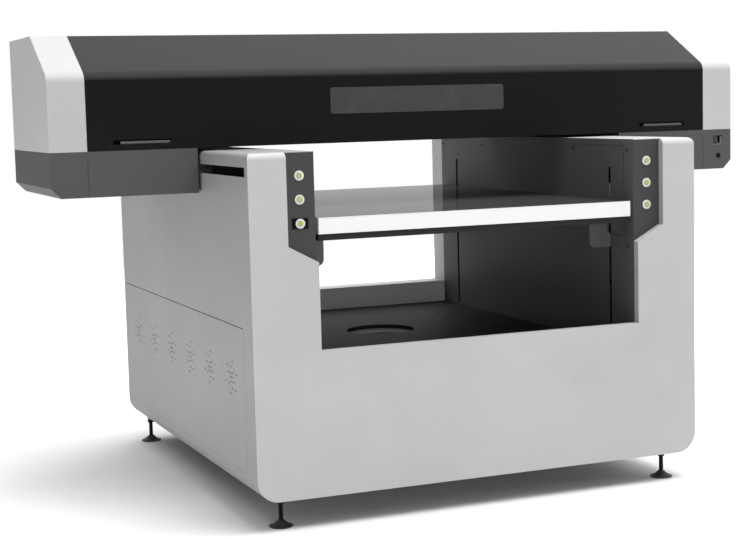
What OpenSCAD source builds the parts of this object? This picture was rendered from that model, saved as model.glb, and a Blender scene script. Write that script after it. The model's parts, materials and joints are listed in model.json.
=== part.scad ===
// Flatbed UV printer: a U-shaped cabinet on levelling feet, a lifting vacuum table between
// its side walls, and a travelling gantry with a hinged hood and a print carriage inside.
// Built in a cabinet frame: y = 0 is the front face, z = 0 the cabinet's underside, x = 0
// the middle. on_feet() then moves everything to the ground and centres it front to back.

/* [Cabinet] */
// Width across the side covers
body_w = 1350; // [1300:10:1400]
// Depth from front cover to rear cover
body_d = 1402; // [1390:1:1410]
// Height of the side walls above the cabinet's underside
body_h = 919; // [915:1:925]
// Height of the levelling feet under the cabinet
foot_h = 80; // [60:1:100]
// Thickness of the sheet steel covers
sheet = 2; // [1.5:0.5:3]
// Radius of the lower corners, seen from the front
corner_r = 60; // [40:1:70]
// Bend radius along the top of the front posts
post_bend_r = 19; // [10:1:20]

/* [Front opening] */
// Half width of the bay between the inner walls
bay_half = 486; // [480:1:490]
// Half width of the upper cut-out, where the buttons sit
step_half = 570; // [550:1:580]
// Lower edge of the cut-outs
sill_z = 393; // [380:1:400]
// Lower end of the diagonal step
step_z0 = 628; // [610:1:640]
// Upper end of the diagonal step
step_z1 = 673.5; // [660:0.5:690]
// Depth of the return flange around the front cut-out
flange = 22; // [18:1:26]
// Depth of the return flange around the rear cut-out
rear_flange = 83; // [60:1:90]

/* [Side walls] */
// Lower edge of the travel slots that the gantry's arms run in
slot_z0 = 858; // [850:1:860]
// Upper edge of the travel slots
slot_z1 = 883; // [880:1:890]
// Top edge of the removable service panels
panel_top = 456; // [440:1:470]
// Height of the vent rosettes
vent_z = 309; // [250:1:340]
// Number of vent rosettes on each side
vent_count = 6; // [3:1:7]
// Width of the lift slots in the inner walls
lift_slot_w = 14; // [10:0.5:16]

/* [Floor] */
// Height of the bay's floor
floor_z = 319; // [300:1:330]
// Diameter of the suction hole in the floor
floor_hole_d = 215; // [180:1:230]

/* [Table] */
// Half width of the vacuum table
table_half = 476; // [470:1:480]
// Front edge of the table
table_y0 = 24; // [20:1:30]
// Rear edge of the table
table_y1 = 1286; // [1270:1:1300]
// Working surface of the table at rest
table_z = 743.5; // [740:0.5:745]
// Thickness of the table's white edge
table_t = 44; // [40:1:46]

/* [Lift] */
// Distance of the lift screws from the middle
screw_x = 545; // [540:1:550]
// Distance of the front lift screws from the front face
screw_front = 154; // [150:1:160]
// Distance of the rear lift screws from the front face
screw_rear = 1195; // [1190:1:1200]
// Diameter of the lift screws
screw_d = 20; // [16:1:22]

/* [Gantry] */
// Length of the gantry over its end caps
gantry_l = 2197; // [2150:1:2240]
// Width of each end cap
cap_w = 104.5; // [90:0.5:120]
// Front face of the gantry at rest
gantry_y0 = 424; // [420:1:430]
// Rear face of the gantry at rest
gantry_y1 = 963; // [950:1:970]
// Underside of the hood and end caps
hood_z0 = 928; // [926:1:935]
// Height of the bend between the hood's front and its slope
bend_z = 1136; // [1120:1:1150]
// Front edge of the hood's flat top
slope_y = 629; // [600:1:650]
// Top of the gantry
gantry_top = 1251; // [1240:1:1260]
// Underside of the lower housings outside the side walls
housing_z0 = 802; // [795:1:810]
// Chamfer along the housings' lower outer edges
housing_chamfer = 28; // [20:1:35]

/* [Buttons] */
// Distance of the button columns from the middle
button_x = 528; // [520:1:535]
// Height of the top button row
button_top_z = 857; // [850:1:860]
// Spacing of the three button rows
button_pitch = 63; // [58:1:66]
// Outer diameter of the button bezels
bezel_d = 26; // [22:1:30]
// Diameter of the moving caps
button_d = 15.5; // [12:0.5:16]

/* [Hidden] */
$fn = 48;

eps = 0.1;            // gap between welded or touching pieces
seam = 1;             // gap between neighbouring covers
over = 1;             // how far a cutter runs past a face
running = 0.05;       // radial clearance of a turning or sliding fit
half_w = body_w / 2;
plate_t = 3;          // front and rear cover plates
paint = "gainsboro";
dark = [0.30, 0.31, 0.31];
black = [0.12, 0.12, 0.12];
steel = [0.72, 0.73, 0.75];

screw_y = [screw_front, screw_rear];
button_z = [for (k = [0:2]) button_top_z - k * button_pitch];
wall_x = bay_half - 0.5;          // inner face of the inner walls
return_y = flange + 0.2;          // front face of the inner walls' button returns
rear_inner_y = body_d - rear_flange;
step_run = tan((90 - atan2(step_z1 - step_z0, step_half - bay_half)) / 2);
top_corner_r = 16;                // outer top corners of the posts

tube = 40;                        // welded frame tube
tube_wall = 3;
side_x = 626;                     // middle of the side frames
ring_z = [12, 215];               // undersides of the lower and the middle tube ring
top_tube = 50;
top_tube_z = 780;
post_y = [30, 681, 1330];
base_cross_y = [30, 330, 681, 1030, 1330];
front_foot = [595, 59];
rear_foot = [626, 1314];
stem_d = 12;
boss_z = -8;                      // underside of the threaded bosses for the feet
boss_r = 10.5;                    // small enough to clear the neighbouring tube
pad_d = 64;

rail_z = top_tube_z + top_tube;   // underside of the Y rails
rail_w = 23;
rail_h = 20;
block_top = 861;
arm_h = 19;
arm_y = [585, 685];               // front edges of the gantry's arms
arm_w = 40;
pinion_y = 655;
pinion_z = 870;
pinion_x = 584;                   // inner face of the pinions
pinion_w = 12;
pinion_r = pinion_z - rail_z - 0.05;
frame_x = 697;                    // inner face of the gantry's end frames

pulley_r = 30;
belt_t = 3;
belt_z = 184;
belt_h = 16;
nut_z = 602;
nut_h = 40;
nut_w = 46;
bearing_h = 12;
motor_y = screw_y[0];

hood_half = gantry_l / 2 - cap_w;
slope_angle = atan2(gantry_top - bend_z, slope_y - gantry_y0);
bend_r = 34;
crest_r = 8;
hinge_y = 950;
hinge_r = 7;
hinge_z = gantry_top - sheet - hinge_r - 0.3;
hinge_pin_r = 3;
hinge_x = [-800, 0, 800];
knuckle_w = 60;

beam_y = 740;
beam_z = 960;
beam_w = 120;
beam_half = 985;
carriage_x = 850;                 // parked position of the print carriage
carriage_w = 280;
head_z = 932;
x_pulley_r = 20;
x_pulley_x = 955;
x_pulley_y = beam_y + beam_w / 2;
x_belt_z = beam_z + beam_w + 18;

pull_x = 839;                     // middle of the hood's two finger pulls
pull_w = 164;
pull_z = 951;
pull_h = 12;
pull_d = 60;

// ---------- helpers ----------

module on_feet() translate([0, -body_d / 2, foot_h]) children();

module both_sides() {
    children();
    mirror([1, 0, 0]) children();
}

// Box between two corners
module block(a, b) translate(a) cube(b - a);

// Rod along Y from y0 to y1, at x and z
module rod_y(x, z, y0, y1, r) translate([x, y0, z]) rotate([-90, 0, 0]) cylinder(h = y1 - y0, r = r);

// Rod along X from x0 to x1, at y and z
module rod_x(y, z, x0, x1, r) translate([x0, y, z]) rotate([0, 90, 0]) cylinder(h = x1 - x0, r = r);

// Extrudes an outline drawn in x and z from y0 to y1
module along_y(y0, y1) translate([0, y1, 0]) rotate([90, 0, 0]) linear_extrude(y1 - y0) children();

// Extrudes an outline drawn in y and z from x0 to x1
module along_x(x0, x1)
    translate([x0, 0, 0]) rotate([90, 0, 90]) linear_extrude(x1 - x0) children();

// Square tube with open ends, between two corners, running along axis 0, 1 or 2
module tube_bar(a, b, axis, wall = tube_wall) {
    grow = [for (i = [0:2]) i == axis ? -over : wall];
    difference() {
        block(a, b);
        block(a + grow, b - grow);
    }
}

function arc(c, r, a0, a1, n = 8) =
    [for (i = [0:n]) c + r * [cos(a0 + (a1 - a0) * i / n), sin(a0 + (a1 - a0) * i / n)]];

// ---------- cabinet outlines (x, z) ----------

// Cut-out of the front cover, grown by g into the metal
module front_cutout(g) {
    polygon([
        [-step_half - g, body_h + over], [-step_half - g, step_z1 - step_run * g],
        [-bay_half - g, step_z0 - step_run * g], [-bay_half - g, sill_z - g],
        [bay_half + g, sill_z - g], [bay_half + g, step_z0 - step_run * g],
        [step_half + g, step_z1 - step_run * g], [step_half + g, body_h + over]]);
}

module rear_cutout(g) {
    polygon([[-bay_half - g, body_h + over], [-bay_half - g, sill_z - g],
        [bay_half + g, sill_z - g], [bay_half + g, body_h + over]]);
}

// Outline of the cabinet with round corners, inset by g
module cabinet_outline(g) {
    low = corner_r;
    top = body_h - top_corner_r;
    translate([-half_w + g, low]) square([body_w - 2 * g, top - low]);
    translate([-half_w + corner_r, g]) square([body_w - 2 * corner_r, low - g + over]);
    translate([-half_w + top_corner_r, top - over])
        square([body_w - 2 * top_corner_r, top_corner_r + over - g]);
    for (s = [-1, 1]) {
        translate([s * (half_w - corner_r), low]) circle(corner_r - g);
        translate([s * (half_w - top_corner_r), top]) circle(top_corner_r - g);
    }
}

// Removes the square front-top edge outside the bend of radius r whose axis stays put
module post_bend_cut(r) {
    c = [post_bend_r, body_h - post_bend_r];
    along_x(-half_w - over, half_w + over) difference() {
        translate([-over, c[1]]) square([c[0] + over, post_bend_r + 2 * over]);
        translate(c) circle(r);
    }
}

module vent_rosette(y, z) {
    for (a = [0:60:300], k = [0:2])
        rod_x(y + (14 + 16 * k) * cos(a + 22 * k), z + (14 + 16 * k) * sin(a + 22 * k),
            half_w - 5 * sheet, half_w + over, 3.4);
    rod_x(y, z, half_w - 5 * sheet, half_w + over, 3.4);
}

// ---------- cabinet ----------

// Adds a threaded boss for a levelling foot under a tube, and its bore
module with_foot_boss(feet) {
    difference() {
        union() {
            children();
            for (f = feet)
                translate([f[0], f[1], boss_z]) cylinder(h = ring_z[0] + 1 - boss_z, r = boss_r);
        }
        for (f = feet) translate([f[0], f[1], boss_z - over])
            cylinder(h = ring_z[0] + tube / 2 - boss_z, d = stem_d + 2 * running);
    }
}

module chassis_frame() color("slategray") {
    inner = side_x - tube / 2;
    outer = side_x + tube / 2;
    top_half = top_tube / 2;
    both_sides() {
        with_foot_boss([rear_foot])
            tube_bar([inner, post_y[0], ring_z[0]], [outer, post_y[2] + tube, ring_z[0] + tube], 1);
        for (y = post_y)
            tube_bar([inner, y, ring_z[0] + tube + eps], [outer, y + tube, top_tube_z - eps], 2);
        for (i = [0, 1])
            tube_bar([inner, post_y[i] + tube + eps, ring_z[1]],
                [outer, post_y[i + 1] - eps, ring_z[1] + tube], 1);
        tube_bar([side_x - top_half, post_y[0], top_tube_z],
            [side_x + top_half, post_y[2] + tube, rail_z], 1);
    }
    for (y = base_cross_y)
        with_foot_boss([for (s = [-1, 1]) if (y == base_cross_y[0]) [s * front_foot[0], front_foot[1]]])
            tube_bar([-inner + eps, y, ring_z[0]], [inner - eps, y + tube, ring_z[0] + tube], 0);
    // cross tubes that carry the lift screws, and one for the blower
    for (y = screw_y) difference() {
        tube_bar([-inner + eps, y - tube / 2, ring_z[1]],
            [inner - eps, y + tube / 2, ring_z[1] + tube], 0);
        for (x = [-screw_x, 0, screw_x])
            translate([x, y, ring_z[1] - over]) cylinder(h = tube + 2 * over, d = screw_d + 8);
    }
    tube_bar([-inner + eps, 746, ring_z[1]], [inner - eps, 786, ring_z[1] + tube], 0);
}

module front_cover() color(paint) {
    difference() {
        along_y(0, flange) difference() {
            cabinet_outline(0);
            front_cutout(0);
        }
        // hollow behind the plate: the flange stays round the cut-out, the top and the underside
        difference() {
            along_y(plate_t, flange + over) difference() {
                translate([-half_w - over, sheet]) square([body_w + 2 * over, body_h - 2 * sheet]);
                front_cutout(sheet);
            }
            along_x(-half_w - 2 * over, half_w + 2 * over)
                translate([0, body_h - post_bend_r]) difference() {
                    square([post_bend_r, post_bend_r + over]);
                    translate([post_bend_r, 0]) circle(post_bend_r - sheet);
                }
        }
        post_bend_cut(post_bend_r);
    }
}

module rear_cover() color(paint) {
    difference() {
        along_y(rear_inner_y, body_d) difference() {
            cabinet_outline(0);
            rear_cutout(0);
        }
        along_y(rear_inner_y - over, body_d - plate_t) difference() {
            translate([-half_w - over, -over]) square([body_w + 2 * over, body_h + 2 * over]);
            rear_cutout(sheet);
        }
        // opening for the power inlet
        block([-566, body_d - plate_t - over, 120], [-494, body_d + over, 214]);
    }
    // sheet that closes the channel under the bay's rear edge
    block([-bay_half, rear_inner_y, floor_z - 10], [bay_half, rear_inner_y + sheet, sill_z - eps]);
}

// The right side cover: outer skin, rounded underside and top strip in one folded sheet
module side_cover() color(paint) {
    front = plate_t + 0.5;
    rear = body_d - plate_t - 0.5;
    difference() {
        along_y(front, rear) difference() {
            intersection() {
                cabinet_outline(0);
                translate([bay_half + sheet, -over]) square([half_w, body_h + 2 * over]);
            }
            cabinet_outline(sheet);
        }
        // the sheet stops short of the front cover's flange on top and of the feet below
        block([bay_half, 0, body_h - sheet - 5 * eps], [half_w + over, flange + seam, body_h + over]);
        block([bay_half, 0, -over], [front_foot[0] - 4, body_d, corner_r / 2]);
        block([560, 0, -over], [half_w - corner_r / 2, flange + seam, sheet + eps]);
        post_bend_cut(post_bend_r - sheet - eps);
        for (f = [front_foot, rear_foot])
            translate([f[0], f[1], -over]) cylinder(h = 12, r = boss_r + 2);
        block([half_w - 20, 27, slot_z0], [half_w + over, body_d - 27, slot_z1]);
        block([half_w - 10, 84, corner_r + 5], [half_w + over, body_d - 31, panel_top + 1]);
    }
}

module service_panel() color(paint) {
    difference() {
        block([half_w - sheet, 84.6, corner_r + 5.6], [half_w, body_d - 31.6, panel_top - 1]);
        for (i = [0 : vent_count - 1]) vent_rosette(202 + 205 * i, vent_z);
    }
}

// The right inner wall with its forward return, which carries the buttons
module inner_wall() color(dark) {
    difference() {
        union() {
            block([wall_x, return_y, ring_z[1] + tube + eps],
                [wall_x + sheet, rear_inner_y - 0.5, body_h]);
            block([wall_x, return_y, 600], [step_half + 14, return_y + sheet, body_h - sheet - 0.5]);
        }
        for (y = screw_y)
            block([wall_x - over, y - lift_slot_w / 2, floor_z + 6],
                [wall_x + sheet + over, y + lift_slot_w / 2, 836]);
        for (z = button_z) rod_y(button_x, z, return_y - over, return_y + sheet + over, 9);
    }
}

module floor_panel() color(dark) {
    front = flange + 4;
    difference() {
        block([-wall_x + eps, front, floor_z - sheet], [wall_x - eps, rear_inner_y - 1, floor_z]);
        translate([0, 766, floor_z - 2 * sheet]) cylinder(h = 5 * sheet, d = floor_hole_d, $fn = 96);
        // two staggered rows of cable and drain holes along each side
        for (s = [-1, 1], k = [0:6]) {
            translate([s * 327, 515 + 103 * k, floor_z - 2 * sheet]) cylinder(h = 5 * sheet, r = 6);
            translate([s * 370, 463 + 103 * k, floor_z - 2 * sheet]) cylinder(h = 5 * sheet, r = 6);
        }
    }
}

module button_bezels() color("white") {
    for (s = [-1, 1], z = button_z) difference() {
        union() {
            rod_y(s * button_x, z, return_y - 3, return_y - 0.02, bezel_d / 2);
            rod_y(s * button_x, z, return_y - 1, return_y + 20, 8.8);
        }
        rod_y(s * button_x, z, return_y - 4, return_y + 16, button_d / 2 + 0.08);
    }
}

module push_button(side, row) color([0.66, 0.69, 0.38]) {
    rod_y(side * button_x, button_z[row], return_y - 4.6, return_y + 11, button_d / 2);
}

module foot_stems() color("dimgray") {
    for (s = [-1, 1], f = [front_foot, rear_foot]) translate([s * f[0], f[1], 0]) {
        translate([0, 0, -foot_h + 18]) cylinder(h = foot_h + 8, d = stem_d);
        // lock nut
        translate([0, 0, boss_z - 10.05]) cylinder(h = 10, d = 21.9, $fn = 6);
    }
}

module foot_pads() color("dimgray") {
    for (s = [-1, 1], f = [front_foot, rear_foot]) translate([s * f[0], f[1], -foot_h])
        rotate_extrude() polygon(concat([[0, 0], [pad_d / 2, 0], [pad_d / 2, 3]],
            [for (t = [0.2:0.2:1]) [pad_d / 2 - (pad_d / 2 - 8.5) * t, 3 + 15 * pow(t, 1.6)]],
            [[0, 18]]));
}

module y_rails_and_racks() color(steel) both_sides() {
    block([side_x - rail_w / 2, 26, rail_z + 0.02],
        [side_x + rail_w / 2, body_d - 18, rail_z + rail_h]);
    block([pinion_x - 2, 40, rail_z - 20], [side_x - top_tube / 2 - eps, 1368, rail_z]);
}

module lift_motor() color(black) {
    block([-40, motor_y - 40, ring_z[1] + tube + eps], [40, motor_y + 40, ring_z[1] + tube + 56]);
    translate([0, motor_y, ring_z[1] + 5]) cylinder(h = tube, r = 10);
}

module lift_belt() color(black) {
    x = screw_x;
    y0 = screw_y[0];
    y1 = screw_y[1];
    r0 = pulley_r + running;
    r1 = r0 + belt_t;
    translate([0, 0, belt_z + 1]) linear_extrude(belt_h - 2) difference() {
        union() {
            translate([-x - r1, y0]) square([2 * (x + r1), y1 - y0]);
            translate([-x, y0 - r1]) square([2 * x, y1 - y0 + 2 * r1]);
            for (s = [-x, x], y = screw_y) translate([s, y]) circle(r1);
        }
        translate([-x - r0, y0]) square([2 * (x + r0), y1 - y0]);
        translate([-x, y0 - r0]) square([2 * x, y1 - y0 + 2 * r0]);
        for (s = [-x, x], y = screw_y) translate([s, y]) circle(r0);
    }
}

module screw_bearings() color("gray") {
    z0 = ring_z[1] + tube + eps;
    for (s = [-1, 1], y = screw_y) translate([s * screw_x, y, 0]) {
        difference() {
            block([-24, -20, z0], [24, 20, z0 + 14]);
            translate([0, 0, z0 - over]) cylinder(h = 16, d = screw_d + 2 * running);
        }
        // the upper bearing reaches back to the inner wall
        difference() {
            x_in = s * (wall_x + sheet + eps - screw_x);
            block([min(x_in, -s * -24), -20, 838], [max(x_in, -s * -24), 20, 838 + bearing_h]);
            translate([0, 0, 838 - over]) cylinder(h = bearing_h + 2 * over, d = screw_d + 2 * running);
        }
    }
}

module vacuum_blower() color("gray") {
    c = [0, 766];
    z0 = ring_z[1] + tube + eps;
    difference() {
        union() {
            translate([c[0], c[1], z0]) cylinder(h = 34, r = 120, $fn = 96);
            translate([c[0], c[1], z0 + 34]) cylinder(h = 6, r = 96, $fn = 96);
            block([90, c[1] + 20, z0], [210, c[1] + 110, z0 + 30]);
        }
        translate([c[0], c[1], z0 + 6]) cylinder(h = 40, r = 38);
        block([180, c[1] + 26, z0 + 5], [212, c[1] + 104, z0 + 25]);
    }
}

module electronics_box() color("silver") {
    z0 = ring_z[0] + tube + eps;
    difference() {
        block([-470, 336, z0], [-60, 716, z0 + 110]);
        block([-468, 338, z0 + 2], [-62, 714, z0 + 108]);
        for (x = [-440 : 20 : -100]) block([x, 335, z0 + 30], [x + 6, 340, z0 + 80]);
    }
}

module power_inlet() color(black) {
    y1 = body_d - 0.5;
    y0 = body_d - 40;
    difference() {
        block([-565.5, y0, 120.5], [-494.5, y1, 213.5]);
        block([-549, y1 - 14, 132], [-511, y1 + over, 160]);
        block([-543, y1 - 3, 174], [-517, y1 + over, 200]);
    }
    for (x = [-539, -530, -521]) block([x - 1, y1 - 14.5, 143], [x + 1, y1 - 3, 149]);
    block([-542, y1 - 3.5, 175], [-518, y1, 199]);
}

module cover_screws() color(steel) {
    // button heads along the edges of the inner walls
    both_sides() for (y = [55, 367, 993, 1307], z = [345, 609, 889])
        if (z == 889 || y == 55 || y == 1307) rod_x(y, z, wall_x - 2, wall_x - 0.02, 4.5);
}

// ---------- table ----------

// Ribbed bed: square pockets from below leave the ribs that carry the top plate
module table_bed() color("white") {
    columns = 7;
    rows = 9;
    rib = 14;
    pocket_x = (2 * table_half - rib) / columns;
    pocket_y = (table_y1 - table_y0 - rib) / rows;
    difference() {
        block([-table_half, table_y0, table_z - table_t], [table_half, table_y1, table_z - 3]);
        for (i = [0 : columns - 1], j = [0 : rows - 1])
            translate([-table_half + rib + i * pocket_x, table_y0 + rib + j * pocket_y,
                    table_z - table_t - over])
                cube([pocket_x - rib, pocket_y - rib, table_t - 9]);
    }
}

module table_top() color([0.62, 0.63, 0.64]) {
    block([-table_half, table_y0, table_z - 3 + 0.02], [table_half, table_y1, table_z]);
}

module table_tray() color(black) {
    z1 = table_z - table_t - 0.02;
    z0 = z1 - 17.5;
    difference() {
        block([-table_half + 0.5, table_y0 + 6, z0], [table_half - 0.5, table_y1 - 6, z1]);
        block([-table_half + 0.5 + sheet, table_y0 + 6 + sheet, z0 + sheet],
            [table_half - 0.5 - sheet, table_y1 - 6 - sheet, z1 + over]);
    }
}

module lift_brackets() color("gray") {
    top = table_z - table_t - 17.55;
    for (y = screw_y) both_sides() {
        along_y(y - 3, y + 3) polygon(concat(
            [[416, top], [416, nut_z + 18]],
            arc([434, nut_z + 18], 18, 180, 270),
            [[screw_x - nut_w / 2, nut_z], [screw_x - nut_w / 2, nut_z + nut_h],
                [wall_x - 2, nut_z + nut_h], [wall_x - 10, nut_z + nut_h + 8],
                [wall_x - 10, top]]));
        block([416, y + 3, top - 4], [wall_x - 20, y + 42, top]);
    }
}

module lift_nuts() color("goldenrod") {
    for (s = [-1, 1], y = screw_y) translate([s * screw_x, y, nut_z]) difference() {
        block([-nut_w / 2 + 0.02, -nut_w / 2, 0], [nut_w / 2 - 0.02, nut_w / 2, nut_h]);
        translate([0, 0, -over]) cylinder(h = nut_h + 2 * over, d = screw_d + 2 * running);
    }
}

module lift_screw(side, y) color(steel) {
    translate([side * screw_x, y, belt_z]) {
        cylinder(h = 860 - belt_z, d = screw_d);
        cylinder(h = belt_h, r = pulley_r);
        cylinder(h = 1, r = pulley_r + 5);
        translate([0, 0, belt_h - 1]) cylinder(h = 1, r = pulley_r + 5);
    }
}

module lift_drive_pulley() color(steel) {
    translate([0, motor_y, belt_z]) {
        cylinder(h = belt_h, r = pulley_r);
        cylinder(h = ring_z[1] + 5 - belt_z, r = 8);
    }
}

// ---------- gantry ----------

// Side outline of the gantry (y, z), inset by g, with its open foot lowered by drop
module gantry_outline(g, drop = 0) {
    lean = 90 - slope_angle;
    c1 = [gantry_y0 + bend_r, bend_z - bend_r * tan(lean / 2)];
    c2 = [slope_y + crest_r * tan(slope_angle / 2), gantry_top - crest_r];
    polygon(concat([[gantry_y0 + g, hood_z0 - drop]],
        arc(c1, bend_r - g, 180, 180 - lean), arc(c2, crest_r - g, 180 - lean, 90),
        arc([gantry_y1 - crest_r, gantry_top - crest_r], crest_r - g, 90, 0),
        [[gantry_y1 - g, hood_z0 - drop]]));
}

module gantry_beam() color("silver") {
    difference() {
        tube_bar([-beam_half, beam_y, beam_z], [beam_half, beam_y + beam_w, beam_z + beam_w], 0, 7);
        // grooves along the rear face
        for (z = [beam_z + 28, beam_z + 80])
            block([-beam_half - over, beam_y + beam_w - 4, z],
                [beam_half + over, beam_y + beam_w + over, z + 10]);
    }
}

module gantry_end_frames() color("slategray") {
    both_sides() {
        // arms through the travel slots, and the plate that stands on them
        difference() {
            union() {
                for (y = arm_y)
                    block([598, y, block_top], [frame_x + eps, y + arm_w, block_top + arm_h]);
                block([frame_x, 580, 825], [frame_x + 14, 870, 925]);
                block([frame_x, beam_y + 2, 920], [frame_x + 14, beam_y + beam_w, beam_z - 0.02]);
                block([frame_x, beam_y + 2, beam_z - 14],
                    [frame_x + 120, beam_y + beam_w, beam_z - 0.02]);
            }
            rod_x(pinion_y, pinion_z, frame_x - over, frame_x + 20, 9);
        }
        // rear upright that ties the beam's end to the cap
        block([beam_half + 0.02, beam_y, hood_z0 + 4],
            [beam_half + 9, beam_y + beam_w + 40, beam_z + beam_w + 40]);
    }
}

module y_bearing_blocks() color(steel) {
    w = 28;
    both_sides() for (y = arm_y) difference() {
        block([side_x - w, y - 5, rail_z + 3], [side_x + w, y + arm_w + 5, block_top - 0.02]);
        block([side_x - rail_w / 2 - running, y - 10, rail_z],
            [side_x + rail_w / 2 + running, y + arm_w + 10, rail_z + rail_h + running]);
    }
}

module gantry_motors() color(black) {
    both_sides() block([frame_x + 14.02, pinion_y - 40, 830], [frame_x + 110, pinion_y + 40, 910]);
    // carriage motor on top of the beam
    block([-x_pulley_x - 30, x_pulley_y - 30, beam_z + beam_w + 46],
        [-x_pulley_x + 30, x_pulley_y + 30, beam_z + beam_w + 106]);
    block([-x_pulley_x - 30, x_pulley_y + 30, beam_z + beam_w + 0.02],
        [-x_pulley_x + 30, x_pulley_y + 36, beam_z + beam_w + 106]);
}

module end_cap() color(paint) {
    x0 = hood_half + 0.2;
    x1 = gantry_l / 2;
    t = 3;
    difference() {
        along_x(x0, x1) gantry_outline(0);
        along_x(x0 - over, x1 - t) gantry_outline(t, over);
    }
}

module lower_housing() color(dark) {
    x0 = 683;
    x1 = gantry_l / 2;
    z1 = hood_z0 - 0.3;
    c = housing_chamfer;
    t = sheet;
    k = tan(22.5) * t;
    difference() {
        along_y(gantry_y0, gantry_y1)
            polygon([[x0, z1], [x0, housing_z0], [x1 - c, housing_z0], [x1, housing_z0 + c], [x1, z1]]);
        along_y(gantry_y0 + t, gantry_y1 - t)
            polygon([[x0 + t, z1 + over], [x0 + t, housing_z0 + t], [x1 - c - k, housing_z0 + t],
                [x1 - t, housing_z0 + c + k], [x1 - t, z1 + over]]);
        // windows for the arms and the motor shaft
        block([x0 - over, arm_y[0] - 4, block_top - 4],
            [x0 + t + over, arm_y[1] + arm_w + 4, block_top + arm_h + 4]);
    }
}

module right_lower_housing() color(dark) {
    difference() {
        lower_housing();
        block([1032, gantry_y0 - over, 876], [1066, gantry_y0 + 2 * sheet, 908]);
        rod_y(1051.5, 844.5, gantry_y0 - over, gantry_y0 + 2 * sheet, 6.5);
    }
}

module gantry_rear_cover() color(dark) {
    x = hood_half - 0.5;
    t = sheet;
    difference() {
        block([-x, hinge_y + 9, hood_z0 + 0.2], [x, gantry_y1, gantry_top]);
        block([-x - over, hinge_y + 8, hood_z0 + t], [x + over, gantry_y1 - t, gantry_top - t]);
        // round rear top edge
        along_x(-x - over, x + over) difference() {
            translate([gantry_y1 - crest_r, gantry_top - crest_r]) square(crest_r + over);
            translate([gantry_y1 - crest_r, gantry_top - crest_r]) circle(crest_r);
        }
    }
}

module x_rails() color(steel) {
    for (z = [beam_z + 25, beam_z + beam_w - 25])
        block([-beam_half + 10, beam_y - 12, z - 7.5], [beam_half - 10, beam_y - 0.02, z + 7.5]);
}

module x_belt() color(black) {
    r0 = x_pulley_r + running;
    r1 = r0 + 2;
    translate([0, 0, x_belt_z + 1]) linear_extrude(12) difference() {
        union() {
            translate([-x_pulley_x, x_pulley_y - r1]) square([2 * x_pulley_x, 2 * r1]);
            for (s = [-1, 1]) translate([s * x_pulley_x, x_pulley_y]) circle(r1);
        }
        translate([-x_pulley_x, x_pulley_y - r0]) square([2 * x_pulley_x, 2 * r0]);
        for (s = [-1, 1]) translate([s * x_pulley_x, x_pulley_y]) circle(r0);
    }
}

// Toothed pulley of the carriage belt on its vertical shaft
module x_pulley(x, shaft_top) color(steel) {
    translate([x, x_pulley_y, x_belt_z]) {
        cylinder(h = 14, r = x_pulley_r);
        translate([0, 0, -10]) cylinder(h = shaft_top + 10, r = 5);
    }
}

module capping_station() color("gray") {
    x0 = carriage_x - 110;
    x1 = carriage_x + 110;
    block([x0, 520, housing_z0 + sheet + 0.02], [x1, 610, 900]);
    for (x = [-75, -25, 25, 75]) difference() {
        block([carriage_x + x - 20, 530, 900.02], [carriage_x + x + 20, 604, 924]);
        block([carriage_x + x - 16, 534, 916], [carriage_x + x + 16, 600, 925]);
    }
}

module ink_bottles() color("whitesmoke") {
    for (i = [0:3]) translate([-1036 + 66 * i, 910, housing_z0 + sheet + 0.02]) {
        cylinder(h = 84, r = 27);
        translate([0, 0, 84]) cylinder(h = 12, r1 = 27, r2 = 14);
        translate([0, 0, 96]) cylinder(h = 20, r = 15);
    }
}

module pinion(side) color(steel) {
    mirror([side < 0 ? 1 : 0, 0, 0]) {
        rod_x(pinion_y, pinion_z, pinion_x, pinion_x + pinion_w, pinion_r);
        rod_x(pinion_y, pinion_z, pinion_x + pinion_w - over, frame_x + 14, 7);
    }
}

// ---------- hood ----------

module hood_shell() color(black) {
    x = hood_half - 0.6;
    t = sheet;
    rear = hinge_y;
    difference() {
        union() {
            difference() {
                along_x(-x, x) gantry_outline(0);
                along_x(-x - over, x + over) gantry_outline(t, over);
                block([-x - over, rear, hood_z0 - over], [x + over, gantry_y1 + over, gantry_top + over]);
            }
            // stiffening flange along the lower front edge
            block([-x, gantry_y0 + 0.5, hood_z0], [x, gantry_y0 + 16, hood_z0 + t]);
            // finger pull pockets
            for (s = [-1, 1])
                block([s * pull_x - pull_w / 2 - t, gantry_y0 + 0.5, pull_z - pull_h / 2 - t],
                    [s * pull_x + pull_w / 2 + t, gantry_y0 + pull_d + 8, pull_z + pull_h / 2 + t]);
            // hinge knuckles
            for (hx = hinge_x) {
                rod_x(hinge_y, hinge_z, hx - knuckle_w / 2, hx + knuckle_w / 2, hinge_r);
                block([hx - knuckle_w / 2, rear - 20, gantry_top - 2 * t],
                    [hx + knuckle_w / 2, hinge_y - 1, gantry_top - t / 2]);
            }
        }
        for (s = [-1, 1])
            block([s * pull_x - pull_w / 2, gantry_y0 - over, pull_z - pull_h / 2],
                [s * pull_x + pull_w / 2, gantry_y0 + pull_d + 6, pull_z + pull_h / 2]);
        for (hx = hinge_x)
            rod_x(hinge_y, hinge_z, hx - knuckle_w, hx + knuckle_w, hinge_pin_r + running);
    }
}

// Grip bars along the lower edge of the pull pockets
module hood_pulls() color("silver") {
    for (s = [-1, 1])
        block([s * pull_x - pull_w / 2 + 22, gantry_y0 + 9, pull_z - pull_h / 2 + 0.02],
            [s * pull_x + pull_w / 2 - 0.02, gantry_y0 + 15, pull_z + pull_h / 2 - 4]);
}

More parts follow.
